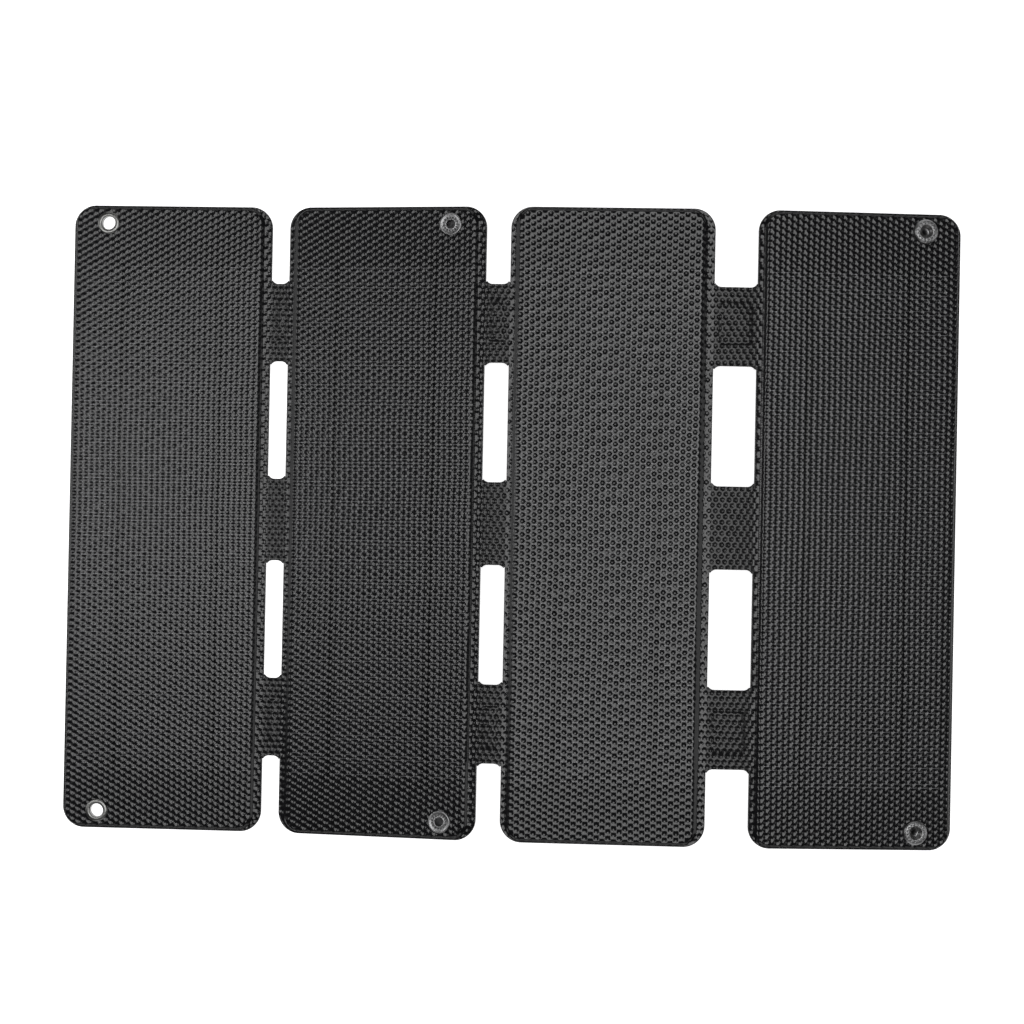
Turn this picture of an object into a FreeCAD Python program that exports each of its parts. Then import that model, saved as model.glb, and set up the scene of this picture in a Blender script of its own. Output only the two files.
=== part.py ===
import FreeCAD, Part
import math
import os
import Sketcher
from FreeCAD import Placement, Rotation, Vector

# A roll-folding solar panel of four stiff leaves, P1 to P4 from -X to +X, joined by flexible webs.
# Solar faces look up (+Z). The third leaf stands on the output box under its back, and the leaves
# beside it droop until the first one lies on the ground. The origin is under the middle, on the ground.

doc = FreeCAD.newDocument("folding_solar_panel")

EVERYWHERE = 1e3  # higher and lower than any point of the model
NEARLY_NOTHING = 1e-6  # a length that counts as none
RIM_REACH = 1e-4  # edges this near a body's lowest point belong to its lower rim

# ---------------------------------------------------------------- driving dimensions, in millimetres

SIZES = {
    # leaf outline and the gaps between the leaves when they lie in one plane
    "leaf_width": 124.5,
    "leaf_height": 388,
    "leaf_corner": 13.2,
    "first_gap": 10.7,
    "second_gap": 15.7,
    "third_gap": 27.4,
    # layers, from the back face up
    "back_sheet": 0.8,
    "film_flange": 0.8,
    "board_thick": 1.2,
    "cell_thick": 0.3,
    "ribbon_thick": 0.2,
    "film_cover": 0.7,
    # the stiff raised zone inside each leaf
    "left_flange": 4.4,
    "right_flange": 6,
    "outer_flange": 2.4,
    "end_flange": 1.6,
    "zone_corner": 9,
    "board_margin": 1.2,
    "board_corner": 7.5,
    # cells and their two bus ribbons
    "cell_block_width": 108.6,
    "cell_block_height": 315,
    "cells_per_leaf": 6,
    "cell_space": 0.6,
    "ribbon_width": 3.2,
    "ribbon_pitch": 61.5,
    # webs: a bridge at each end and one in the middle of each gap
    "end_notch": 47.5,
    "end_bridge": 48.2,
    "middle_bridge": 50.6,
    "first_slit": 0.6,
    "second_slit": 1.6,
    "third_slit": 2.2,
    "conductor_width": 20,
    "conductor_thick": 0.3,
    "patch_height": 27,
    "patch_thick": 0.4,
    "patch_inset": 2.4,
    # distances between front faces when folded
    "first_stack": 2.4,
    "second_clearance": 1.3,
    "third_clearance": 4.0,
    # fasteners
    "eyelet_inset": 21.6,
    "snap_inset": 22.3,
    "fastener_margin": 11,
    "eyelet_bore": 4.15,
    "eyelet_barrel": 4.9,
    "eyelet_flange": 7.0,
    "eyelet_rim": 0.7,
    "washer_thick": 0.8,
    "post_bore": 2.5,
    "post_barrel": 2.9,
    "post_flange": 6.9,
    "post_rim": 0.8,
    "stud_flange": 5.6,
    "stud_base": 0.6,
    "stud_neck": 2.95,
    "stud_head": 3.35,
    "stud_neck_height": 0.9,
    "stud_head_height": 1.6,
    "stud_bore": 2.3,
    "socket_rim": 7.6,
    "socket_height": 3.0,
    "socket_bore": 3.85,
    "socket_floor": 0.6,
    "spring_groove": 4.75,
    "spring_wire": 0.35,
    "spring_ring": 4.3,
    "cap_radius": 7.6,
    "cap_height": 2.0,
    # output box under the third leaf
    "box_depth": 17.6,
    "box_width": 86,
    "box_length": 122,
    "box_corner": 8,
    "box_wall": 2,
    "box_edge": 1.6,
    "base_plate": 2,
    "gasket_thick": 0.6,
    "foot_radius": 5,
    "foot_thick": 1,
    "foot_inset": 17,
    "boss_radius": 3.2,
    "boss_inset": 7.5,
    "boss_height": 6,
    "screw_core": 1.25,
    "screw_bore": 1.6,
    "screw_head": 2.8,
    "screw_head_height": 1.8,
    "screw_length": 10,
    "rail_width": 4,
    "rail_height": 3,
    "rail_pitch": 52,
    "circuit_width": 60,
    "circuit_length": 112,
    "circuit_thick": 1.6,
    "usb_a_width": 14.4,
    "usb_a_height": 7,
    "usb_depth": 14,
    "usb_a_pitch": 19,
    "usb_c_width": 9,
    "usb_c_height": 3.3,
    "usb_shell": 0.6,
    "usb_tongue": 1.6,
    "usb_c_tongue": 0.7,
    "window_width": 54,
    "window_height": 8.4,
    "window_spare": 1,
    "flap_width": 61,
    "flap_height": 10.6,
    "flap_thick": 1.6,
    "flap_clear": 0.35,
    "knuckle_radius": 2.2,
    "knuckle_bore": 1.05,
    "pin_radius": 1.0,
    "lug_height": 1.0,
    "lens_radius": 1.5,
}

dims = doc.addObject("Spreadsheet::Sheet", "dims")
for row, (alias, value) in enumerate(SIZES.items(), start=1):
    dims.set("A%d" % row, alias)
    dims.set("B%d" % row, str(value))
    dims.setAlias("B%d" % row, alias)
doc.recompute()


def size(alias):
    """The value of one driving dimension."""
    return float(dims.get(alias))


# ---------------------------------------------------------------- expressions used by several pieces

LEAF_TOP = "(dims.back_sheet + dims.board_thick + dims.cell_thick + dims.ribbon_thick + dims.film_cover)"
FLANGE_TOP = "(dims.back_sheet + dims.film_flange)"
BOARD_TOP = "(dims.back_sheet + dims.board_thick)"
CELLS_TOP = "(dims.back_sheet + dims.board_thick + dims.cell_thick)"
RIBBONS_TOP = "(dims.back_sheet + dims.board_thick + dims.cell_thick + dims.ribbon_thick)"
HALF_LEAF = "(dims.leaf_width / 2)"
END_ROW = "(dims.leaf_height / 2 - dims.fastener_margin)"


def bind(thing, **formulas):
    """Drive the properties of a document object from the spreadsheet."""
    for name, formula in formulas.items():
        thing.setExpression(name, formula)


def bind_place(thing, path, x, y, z):
    """Drive a placement's base point from the spreadsheet."""
    thing.setExpression("." + path + ".Base.x", x)
    thing.setExpression("." + path + ".Base.y", y)
    thing.setExpression("." + path + ".Base.z", z)


# ---------------------------------------------------------------- sketches and padded bodies

def origin_plane(body, role):
    """One of a body's own origin planes."""
    return [feature for feature in body.Origin.OriginFeatures if feature.Role == role][0]


def flat_sketch(body, name, z, x="0", y="0"):
    """An empty sketch parallel to the leaf, at a height above its back face."""
    sketch = body.newObject("Sketcher::SketchObject", name)
    sketch.AttachmentSupport = (origin_plane(body, "XY_Plane"), [""])
    sketch.MapMode = "FlatFace"
    bind_place(sketch, "AttachmentOffset", x, y, z)
    return sketch


def draw_rectangle(sketch, width, height):
    """A rectangle centred on the sketch's origin, its two sizes driven by formulas."""
    corners = [Vector(-1, -1, 0), Vector(1, -1, 0), Vector(1, 1, 0), Vector(-1, 1, 0)]
    first = sketch.GeometryCount
    for start, end in zip(corners, corners[1:] + corners[:1]):
        sketch.addGeometry(Part.LineSegment(start, end), False)
    for side in range(4):
        sketch.addConstraint(Sketcher.Constraint("Coincident", first + side, 2, first + (side + 1) % 4, 1))
    for side in (0, 2):
        sketch.addConstraint(Sketcher.Constraint("Horizontal", first + side))
    for side in (1, 3):
        sketch.addConstraint(Sketcher.Constraint("Vertical", first + side))
    sketch.addConstraint(Sketcher.Constraint("Symmetric", first, 1, first + 1, 2, -1, 1))
    for name, side, kind, formula in (("width", 0, "DistanceX", width), ("height", 1, "DistanceY", height)):
        index = sketch.addConstraint(Sketcher.Constraint(kind, first + side, 1, first + side, 2, 2.0))
        sketch.renameConstraint(index, name)
        sketch.setExpression("Constraints." + name, formula)


def draw_circles(sketch, radius, centres):
    """Circles of one radius, each centre given by two formulas."""
    for number, (x, y) in enumerate(centres):
        circle = sketch.addGeometry(Part.Circle(Vector(number + 1, 1, 0), Vector(0, 0, 1), 1), False)
        for kind, formula in (("DistanceX", x), ("DistanceY", y)):
            index = sketch.addConstraint(Sketcher.Constraint(kind, -1, 1, circle, 3, 1.0))
            sketch.setExpression("Constraints[%d]" % index, formula)
        index = sketch.addConstraint(Sketcher.Constraint("Radius", circle, 1.0))
        sketch.setExpression("Constraints[%d]" % index, radius)


def pad_up(body, sketch, height):
    """Pad a sketch away from the back face."""
    pad = body.newObject("PartDesign::Pad", sketch.Name + "_pad")
    pad.Profile = sketch
    bind(pad, Length=height)
    doc.recompute()
    return pad


def pocket_up(body, sketch, depth):
    """Cut a sketch out of a body, away from the back face."""
    before = body.Shape.Volume
    pocket = body.newObject("PartDesign::Pocket", sketch.Name + "_pocket")
    pocket.Profile = sketch
    pocket.Reversed = True
    bind(pocket, Length=depth)
    doc.recompute()
    if not body.Shape.Volume < before:
        raise ValueError(sketch.Name + " cuts nothing")
    return pocket


def round_upright_edges(body, feature, radius, low=-EVERYWHERE, high=EVERYWHERE):
    """Round a pad's upright corner edges that lie within a range of heights."""
    names = []
    for index, edge in enumerate(feature.Shape.Edges, start=1):
        box = edge.BoundBox
        upright = box.ZLength > NEARLY_NOTHING and box.XLength + box.YLength < NEARLY_NOTHING
        if upright and box.ZMin > low - NEARLY_NOTHING and box.ZMax < high + NEARLY_NOTHING:
            names.append("Edge%d" % index)
    fillet = body.newObject("PartDesign::Fillet", feature.Name + "_corners")
    fillet.Base = (feature, names)
    bind(fillet, Radius=radius)
    doc.recompute()
    return fillet


def rounded_plate(label, width, height, thick, corner, z, x="0", y="0"):
    """A flat plate with rounded corners, as a body whose back face is at height z."""
    body = doc.addObject("PartDesign::Body", label)
    sketch = flat_sketch(body, label + "_outline", z, x, y)
    draw_rectangle(sketch, width, height)
    pad = pad_up(body, sketch, thick)
    round_upright_edges(body, pad, corner)
    return body


def drill(body, label, radius, centres, z, depth):
    """Round holes through a plate."""
    sketch = flat_sketch(body, label, z)
    draw_circles(sketch, radius, centres)
    pocket_up(body, sketch, depth)


# ---------------------------------------------------------------- primitives and booleans

def block(label, corner, lengths):
    """A box from its low corner and its three lengths, all formulas."""
    solid = doc.addObject("Part::Box", label)
    bind(solid, Length=lengths[0], Width=lengths[1], Height=lengths[2])
    bind_place(solid, "Placement", *corner)
    return solid


def disc(label, centre, z, radius, height):
    """An upright cylinder from its lowest point, all formulas."""
    solid = doc.addObject("Part::Cylinder", label)
    bind(solid, Radius=radius, Height=height)
    bind_place(solid, "Placement", centre[0], centre[1], z)
    return solid


def join(label, solids):
    """Several solids as one."""
    if len(solids) == 1:
        return solids[0]
    fused = doc.addObject("Part::MultiFuse", label)
    fused.Shapes = solids
    fused.Refine = True
    return fused


def cut_away(label, solid, tools):
    """A solid with others cut out of it."""
    result = doc.addObject("Part::Cut", label)
    result.Base = solid
    result.Tool = join(label + "_tools", tools)
    return result


def group(label, solids):
    """Separate solids of one kind, kept as one node."""
    compound = doc.addObject("Part::Compound", label)
    compound.Links = solids
    return compound


def turned(label, centre, outside, bore):
    """A turned piece: stacked discs given as (z, radius, height), less bored discs given the same way."""
    discs = [disc("%s_disc_%d" % (label, i), centre, *ring) for i, ring in enumerate(outside)]
    bores = [disc("%s_bore_%d" % (label, i), centre, *ring) for i, ring in enumerate(bore)]
    whole = join(label + "_body", discs)
    return cut_away(label, whole, bores) if bores else whole


# ---------------------------------------------------------------- where each leaf lies

def leaf_frames():
    """The four leaves' placements and the three hinge lines, as they lie on the ground."""
    width = size("leaf_width")
    layers = ("back_sheet", "board_thick", "cell_thick", "ribbon_thick", "film_cover")
    thick = sum(size(name) for name in layers)
    first_stack = size("first_stack")
    second_stack = first_stack + thick + size("second_clearance")
    third_stack = second_stack + thick + size("third_clearance")
    # a hinge line runs midway between two leaves, at half of their folded distance over the front faces
    first_line = Vector(-(width + size("first_gap")) / 2, 0, thick + first_stack / 2)
    second_line = Vector(-(width + size("second_gap")) / 2, 0, thick + second_stack / 2)
    third_line = Vector((width + size("third_gap")) / 2, 0, thick + third_stack / 2)
    # the droop that lays the first leaf flat on its eyelets, while the box holds the third leaf up
    reach = width + (size("first_gap") + size("second_gap")) / 2
    rise = (second_stack - first_stack) / 2
    drop = size("box_depth") - size("washer_thick")
    droop = math.degrees(math.asin((drop + rise) / math.hypot(reach, rise)) - math.atan2(rise, reach))

    def turned_about(line, degrees):
        turn = Placement(Vector(0, 0, 0), Rotation(Vector(0, 1, 0), degrees), line)
        return turn

    def chain(centre_x):
        third = Placement(Vector(centre_x, 0, size("box_depth")), Rotation())
        to_second = Placement(Vector(-(width + size("second_gap")), 0, 0), Rotation())
        second = third * turned_about(second_line, -droop) * to_second
        to_first = Placement(Vector(-(width + size("first_gap")), 0, 0), Rotation())
        first = second * turned_about(first_line, droop) * to_first
        to_fourth = Placement(Vector(width + size("third_gap"), 0, 0), Rotation())
        fourth = third * turned_about(third_line, droop) * to_fourth
        lines = [second.multVec(first_line), third.multVec(second_line), third.multVec(third_line)]
        return [first, second, third, fourth], lines

    frames, _ = chain(0)
    left = frames[0].multVec(Vector(-width / 2, 0, 0)).x
    flange_top = size("back_sheet") + size("film_flange")
    right = frames[3].multVec(Vector(width / 2, 0, flange_top)).x
    frames, lines = chain(-(left + right) / 2)
    return frames, lines, droop


FRAMES, HINGE_LINES, DROOP = leaf_frames()
NODES = []


def place(piece, leaf):
    """Lay a finished piece with the leaf that it belongs to, and list it for export."""
    piece.Placement = FRAMES[leaf - 1]
    NODES.append(piece)


# ---------------------------------------------------------------- the four leaves

GAPS = ("first", "second", "third")
LEAVES = (
    {"left": "dims.outer_flange", "right": "dims.right_flange", "side": "-1",
     "inset": "dims.eyelet_inset", "hole": "dims.eyelet_barrel"},
    {"left": "dims.left_flange", "right": "dims.right_flange", "side": "1",
     "inset": "dims.snap_inset", "hole": "dims.post_barrel"},
    {"left": "dims.left_flange", "right": "dims.right_flange"},
    {"left": "dims.left_flange", "right": "dims.outer_flange", "side": "1",
     "inset": "dims.snap_inset", "hole": "dims.post_barrel"},
)


def fastener_centres(leaf):
    """The two corner fasteners' centres on a leaf, as formulas."""
    if "side" not in leaf:
        return []
    x = "%s * (%s - %s)" % (leaf["side"], HALF_LEAF, leaf["inset"])
    return [(x, END_ROW), (x, "-" + END_ROW)]


def build_leaf(number, leaf):
    """The laminated layers of one leaf, from the back sheet up to the front film."""
    name = "_%d" % number
    holes = fastener_centres(leaf)
    zone_x = "(%s - %s) / 2" % (leaf["left"], leaf["right"])
    zone_width = "(dims.leaf_width - %s - %s)" % (leaf["left"], leaf["right"])
    zone_height = "(dims.leaf_height - 2 * dims.end_flange)"
    board_width = "(%s - 2 * dims.board_margin)" % zone_width
    board_height = "(%s - 2 * dims.board_margin)" % zone_height

    back = rounded_plate("back_sheet" + name, "dims.leaf_width", "dims.leaf_height",
                         "dims.back_sheet", "dims.leaf_corner", "0")
    board = rounded_plate("stiffener_board" + name, board_width, board_height,
                          "dims.board_thick", "dims.board_corner", "dims.back_sheet", zone_x)

    cell_height = "((dims.cell_block_height + dims.cell_space) / dims.cells_per_leaf - dims.cell_space)"
    cells = []
    for row in range(int(size("cells_per_leaf"))):
        low = "-dims.cell_block_height / 2 + %d * (%s + dims.cell_space)" % (row, cell_height)
        cells.append(block("cell_%d_%d" % (number, row + 1), ("-dims.cell_block_width / 2", low, BOARD_TOP),
                           ("dims.cell_block_width", cell_height, "dims.cell_thick")))
    ribbons = []
    for side, factor in (("left", "-1"), ("right", "1")):
        low = "%s * dims.ribbon_pitch / 2 - dims.ribbon_width / 2" % factor
        ribbons.append(block("ribbon_%s_%d" % (side, number),
                             (low, "-dims.cell_block_height / 2", CELLS_TOP),
                             ("dims.ribbon_width", "dims.cell_block_height", "dims.ribbon_thick")))

    sealant = rounded_plate("sealant_layer" + name, board_width, board_height,
                            "dims.cell_thick + dims.ribbon_thick", "dims.board_corner", BOARD_TOP, zone_x)
    pocket = flat_sketch(sealant, "cell_bed" + name, BOARD_TOP)
    draw_rectangle(pocket, "dims.cell_block_width", "dims.cell_block_height")
    pocket_up(sealant, pocket, "dims.cell_thick")
    for side, factor in (("left", "-1"), ("right", "1")):
        slot = flat_sketch(sealant, "ribbon_bed_%s%s" % (side, name), CELLS_TOP,
                           factor + " * dims.ribbon_pitch / 2")
        draw_rectangle(slot, "dims.ribbon_width", "dims.cell_block_height")
        pocket_up(sealant, slot, "dims.ribbon_thick")

    film = doc.addObject("PartDesign::Body", "film_shell" + name)
    zone = flat_sketch(film, "film_zone" + name, "dims.back_sheet", zone_x)
    draw_rectangle(zone, zone_width, zone_height)
    raised = pad_up(film, zone, LEAF_TOP + " - dims.back_sheet")
    round_upright_edges(film, raised, "dims.zone_corner")
    outline = flat_sketch(film, "film_outline" + name, "dims.back_sheet")
    draw_rectangle(outline, "dims.leaf_width", "dims.leaf_height")
    flange = pad_up(film, outline, "dims.film_flange")
    round_upright_edges(film, flange, "dims.leaf_corner", high=size("back_sheet") + size("film_flange"))
    hollow = rounded_plate("film_hollow" + name, board_width, board_height,
                           RIBBONS_TOP + " - dims.back_sheet",
                           "dims.board_corner", "dims.back_sheet", zone_x)

    if holes:
        drill(back, "back_sheet_holes" + name, leaf["hole"], holes, "0", "dims.back_sheet")
        drill(board, "board_holes" + name, leaf["hole"], holes, "dims.back_sheet", "dims.board_thick")
        drill(sealant, "sealant_holes" + name, leaf["hole"], holes, BOARD_TOP,
              "dims.cell_thick + dims.ribbon_thick")
        drill(film, "film_holes" + name, leaf["hole"], holes, RIBBONS_TOP, "dims.film_cover")

    layers = [back, board, group("solar_cells" + name, cells), group("bus_ribbons" + name, ribbons),
              sealant, cut_away("front_film" + name, film, [hollow])]
    for layer in layers:
        place(layer, number)


# ---------------------------------------------------------------- webs across the gaps

def web_bridges():
    """The low edge and the height of each bridge in a gap, with the name of its place."""
    top = "(dims.leaf_height / 2 - dims.end_notch)"
    return (
        ("top", top + " - dims.end_bridge", "dims.end_bridge"),
        ("middle", "-dims.middle_bridge / 2", "dims.middle_bridge"),
        ("bottom", "-" + top, "dims.end_bridge"),
    )


def build_web_half(gap, side, leaf_number):
    """Half of the flexible webs of one gap, up to the middle of the gap, and its flat conductors."""
    tag = "%d_%s" % (gap, side)
    word = GAPS[gap - 1]
    reach = "((dims.%s_gap - dims.%s_slit) / 2)" % (word, word)
    sign = 1 if side == "left" else -1
    low_x = HALF_LEAF if sign > 0 else "-%s - %s" % (HALF_LEAF, reach)
    patch_x = "%s + dims.patch_inset" % HALF_LEAF if sign > 0 else low_x
    patch_reach = "(%s - dims.patch_inset)" % reach
    bridges = []
    channels = []
    conductors = []
    for place_name, low_y, height in web_bridges():
        key = "%s_%s" % (place_name, tag)
        bridges.append(block("web_" + key, (low_x, low_y, "0"), (reach, height, FLANGE_TOP)))
        if place_name == "middle":
            continue
        middle_y = "(%s + %s / 2)" % (low_y, height)
        bridges.append(block("web_patch_" + key,
                             (patch_x, middle_y + " - dims.patch_height / 2", FLANGE_TOP),
                             (patch_reach, "dims.patch_height", "dims.patch_thick")))
        flat = ((low_x, middle_y + " - dims.conductor_width / 2", "dims.back_sheet"),
                (reach, "dims.conductor_width", "dims.conductor_thick"))
        channels.append(block("channel_" + key, *flat))
        conductors.append(block("conductor_" + key, *flat))
    place(cut_away("web_" + tag, join("web_joined_" + tag, bridges), channels), leaf_number)
    place(group("web_conductors_" + tag, conductors), leaf_number)


# ---------------------------------------------------------------- corner fasteners

def build_eyelets():
    """Two through eyelets with rolled rims, and the washers that clench them at the back."""
    eyelets = []
    washers = []
    rim_top = "dims.eyelet_rim"
    for number, centre in enumerate(fastener_centres(LEAVES[0]), start=1):
        barrel = ("-dims.washer_thick", "dims.eyelet_barrel", "dims.washer_thick + " + LEAF_TOP)
        rim = (LEAF_TOP, "dims.eyelet_flange", rim_top)
        bore = ("-dims.washer_thick", "dims.eyelet_bore",
                "dims.washer_thick + %s + %s" % (LEAF_TOP, rim_top))
        eyelets.append(turned("eyelet_%d" % number, centre, [barrel, rim], [bore]))
        ring = ("-dims.washer_thick", "dims.eyelet_flange", "dims.washer_thick")
        hole = ("-dims.washer_thick", "dims.eyelet_barrel", "dims.washer_thick")
        washers.append(turned("eyelet_washer_%d" % number, centre, [ring], [hole]))
    place(group("eyelets", eyelets), 1)
    place(group("eyelet_washers", washers), 1)


def build_snap_posts():
    """Rivet caps on the second leaf's front and the snap studs that they hold at its back."""
    caps = []
    studs = []
    stud_depth = "(dims.stud_base + dims.stud_neck_height + dims.stud_head_height)"
    for number, centre in enumerate(fastener_centres(LEAVES[1]), start=1):
        barrel = ("-dims.stud_base", "dims.post_barrel", "dims.stud_base + " + LEAF_TOP)
        rim = (LEAF_TOP, "dims.post_flange", "dims.post_rim")
        bore = ("-dims.stud_base", "dims.post_bore", "dims.stud_base + %s + dims.post_rim" % LEAF_TOP)
        caps.append(turned("post_cap_%d" % number, centre, [barrel, rim], [bore]))
        base = ("-dims.stud_base", "dims.stud_flange", "dims.stud_base")
        neck = ("-dims.stud_base - dims.stud_neck_height", "dims.stud_neck", "dims.stud_neck_height")
        head = ("-" + stud_depth, "dims.stud_head", "dims.stud_head_height")
        seat = ("-dims.stud_base", "dims.post_barrel", "dims.stud_base")
        hollow = ("-" + stud_depth, "dims.stud_bore", stud_depth)
        studs.append(turned("snap_stud_%d" % number, centre, [base, neck, head], [seat, hollow]))
    place(group("post_caps", caps), 2)
    place(group("snap_studs", studs), 2)


def build_snap_sockets():
    """Snap sockets on the fourth leaf's front, their ring springs, and the caps at its back."""
    sockets = []
    springs = []
    caps = []
    groove_z = "(%s + dims.socket_height / 2)" % LEAF_TOP
    groove_high = "(3 * dims.spring_wire)"
    for number, centre in enumerate(fastener_centres(LEAVES[3]), start=1):
        shell = (LEAF_TOP, "dims.socket_rim", "dims.socket_height")
        mouth = (LEAF_TOP + " + dims.socket_floor", "dims.socket_bore", "dims.socket_height")
        seat = (LEAF_TOP, "dims.post_barrel", "dims.socket_floor")
        groove = (groove_z + " - %s / 2" % groove_high, "dims.spring_groove", groove_high)
        sockets.append(turned("snap_socket_%d" % number, centre, [shell], [mouth, seat, groove]))
        ring = doc.addObject("Part::Torus", "snap_spring_%d" % number)
        bind(ring, Radius1="dims.spring_ring", Radius2="dims.spring_wire")
        bind_place(ring, "Placement", centre[0], centre[1], groove_z)
        springs.append(ring)
        dome = ("-dims.cap_height", "dims.cap_radius", "dims.cap_height")
        rivet = ("-dims.cap_height", "dims.post_barrel",
                 "dims.cap_height + %s + dims.socket_floor" % LEAF_TOP)
        hollow = (LEAF_TOP, "dims.stud_bore", "dims.socket_floor")
        caps.append(turned("socket_cap_%d" % number, centre, [dome, rivet], [hollow]))
    place(group("snap_sockets", sockets), 4)
    place(group("snap_springs", springs), 4)
    place(group("socket_caps", caps), 4)


# ---------------------------------------------------------------- output box under the third leaf

BOX_FLOOR = "(-dims.box_depth + dims.foot_thick)"
COVER_TOP = "(-dims.base_plate - dims.gasket_thick)"
BOARD_FACE = "(-dims.base_plate - dims.rail_height - dims.circuit_thick)"
BOSS_END = "(-dims.base_plate - dims.boss_height)"
PORT_MIDDLE = "(%s - dims.usb_a_height / 2)" % BOARD_FACE
FRONT_WALL = "(-dims.box_length / 2)"
PIN_X = "(dims.flap_width / 2 + dims.knuckle_radius)"
PIN_Y = "(%s - dims.flap_clear - dims.knuckle_radius)" % FRONT_WALL


def four_corners(inset):
    """The centres of four points inset from the box's corners."""
    x = "(dims.box_width / 2 - %s)" % inset
    y = "(dims.box_length / 2 - %s)" % inset
    return [(x, y), ("-" + x, y), (x, "-" + y), ("-" + x, "-" + y)]


def build_box_shells():
    """The base bonded under the leaf, the gasket, and the screwed cover with its port window."""
    plate = rounded_plate("box_plate", "dims.box_width", "dims.box_length", "dims.base_plate",
                          "dims.box_corner", "-dims.base_plate")
    bosses = []
    cores = []
    for number, centre in enumerate(four_corners("dims.boss_inset"), start=1):
        bosses.append(disc("boss_%d" % number, centre, BOSS_END, "dims.boss_radius", "dims.boss_height"))
        cores.append(disc("boss_core_%d" % number, centre, BOSS_END, "dims.screw_core", "dims.boss_height"))
    rails = []
    for side, factor in (("left", "-1"), ("right", "1")):
        low = (factor + " * dims.rail_pitch / 2 - dims.rail_width / 2", "-dims.circuit_length / 2",
               "-dims.base_plate - dims.rail_height")
        rails.append(block("rail_" + side, low,
                           ("dims.rail_width", "dims.circuit_length", "dims.rail_height")))
    place(cut_away("box_base", join("box_base_joined", [plate] + bosses + rails), cores), 3)

    inner_width = "(dims.box_width - 2 * dims.box_wall)"
    inner_length = "(dims.box_length - 2 * dims.box_wall)"
    inner_corner = "(dims.box_corner - dims.box_wall)"
    gasket = doc.addObject("PartDesign::Body", "box_gasket")
    outline = flat_sketch(gasket, "gasket_outline", COVER_TOP)
    draw_rectangle(outline, "dims.box_width", "dims.box_length")
    ring = pad_up(gasket, outline, "dims.gasket_thick")
    round_upright_edges(gasket, ring, "dims.box_corner")
    opening = flat_sketch(gasket, "gasket_opening", COVER_TOP)
    draw_rectangle(opening, inner_width, inner_length)
    pocket_up(gasket, opening, "dims.gasket_thick")
    place(gasket, 3)

    shell = rounded_plate("cover_shell", "dims.box_width", "dims.box_length", COVER_TOP + " - " + BOX_FLOOR,
                          "dims.box_corner", BOX_FLOOR)
    round_floor_edge(shell, "dims.box_edge")
    cavity = rounded_plate("cover_cavity", inner_width, inner_length,
                           COVER_TOP + " - %s - dims.box_wall" % BOX_FLOOR,
                           inner_corner, BOX_FLOOR + " + dims.box_wall")
    posts = []
    bores = []
    for number, centre in enumerate(four_corners("dims.boss_inset"), start=1):
        post_height = "%s - %s - dims.box_wall" % (BOSS_END, BOX_FLOOR)
        posts.append(disc("cover_post_%d" % number, centre, BOX_FLOOR + " + dims.box_wall",
                          "dims.boss_radius", post_height))
        bores.append(disc("cover_bore_%d" % number, centre, BOX_FLOOR, "dims.screw_bore",
                          "%s - %s" % (BOSS_END, BOX_FLOOR)))
        bores.append(disc("head_seat_%d" % number, centre, BOX_FLOOR,
                          "dims.screw_head", "dims.screw_head_height"))
    window = block("port_window", ("-dims.window_width / 2", FRONT_WALL + " - dims.window_spare",
                                   PORT_MIDDLE + " - dims.window_height / 2"),
                   ("dims.window_width", "dims.box_wall + 2 * dims.window_spare", "dims.window_height"))
    lens_hole = lens_cylinder("lens_hole")
    hollow = cut_away("cover_hollow", shell, [cavity])
    lugs, pin_holes = flap_lugs()
    cover = cut_away("box_cover", join("cover_joined", [hollow] + posts + lugs),
                     bores + [window, lens_hole] + pin_holes)
    place(cover, 3)
    place(group("indicator_lens", [lens_cylinder("lens_rod")]), 3)


def round_floor_edge(body, radius):
    """Round the lower rim of the cover."""
    feature = body.Tip
    low = feature.Shape.BoundBox.ZMin
    names = []
    for index, edge in enumerate(feature.Shape.Edges, start=1):
        if edge.BoundBox.ZMax < low + RIM_REACH:
            names.append("Edge%d" % index)
    fillet = body.newObject("PartDesign::Fillet", body.Name + "_rim")
    fillet.Base = (feature, names)
    bind(fillet, Radius=radius)
    doc.recompute()


def lens_cylinder(label):
    """The light guide of the charge indicator, lying through the front wall."""
    lens = doc.addObject("Part::Cylinder", label)
    bind(lens, Radius="dims.lens_radius", Height="dims.box_wall")
    lens.Placement = Placement(Vector(0, 0, 0), Rotation(Vector(1, 0, 0), 90))
    bind_place(lens, "Placement", "-" + PIN_X, FRONT_WALL + " + dims.box_wall", PORT_MIDDLE)
    return lens


def flap_levels():
    """Low ends of the lower lug, the knuckle and the upper lug of the flap's hinge."""
    low = "(%s - dims.flap_height / 2)" % PORT_MIDDLE
    high = "(%s + dims.flap_height / 2 - dims.lug_height)" % PORT_MIDDLE
    knuckle = "(%s + dims.lug_height + dims.flap_clear)" % low
    return low, knuckle, high


def flap_lugs():
    """Two lugs on the cover's front wall that hold the flap's pin, and the pin's holes in them."""
    low, _, high = flap_levels()
    lugs = []
    holes = []
    for name, level in (("low", low), ("high", high)):
        lugs.append(disc("lug_eye_" + name, (PIN_X, PIN_Y), level, "dims.knuckle_radius", "dims.lug_height"))
        lugs.append(block("lug_arm_" + name, (PIN_X + " - dims.knuckle_radius", PIN_Y, level),
                          ("2 * dims.knuckle_radius", FRONT_WALL + " - " + PIN_Y, "dims.lug_height")))
        holes.append(disc("lug_hole_" + name, (PIN_X, PIN_Y), level, "dims.pin_radius", "dims.lug_height"))
    return lugs, holes


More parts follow.
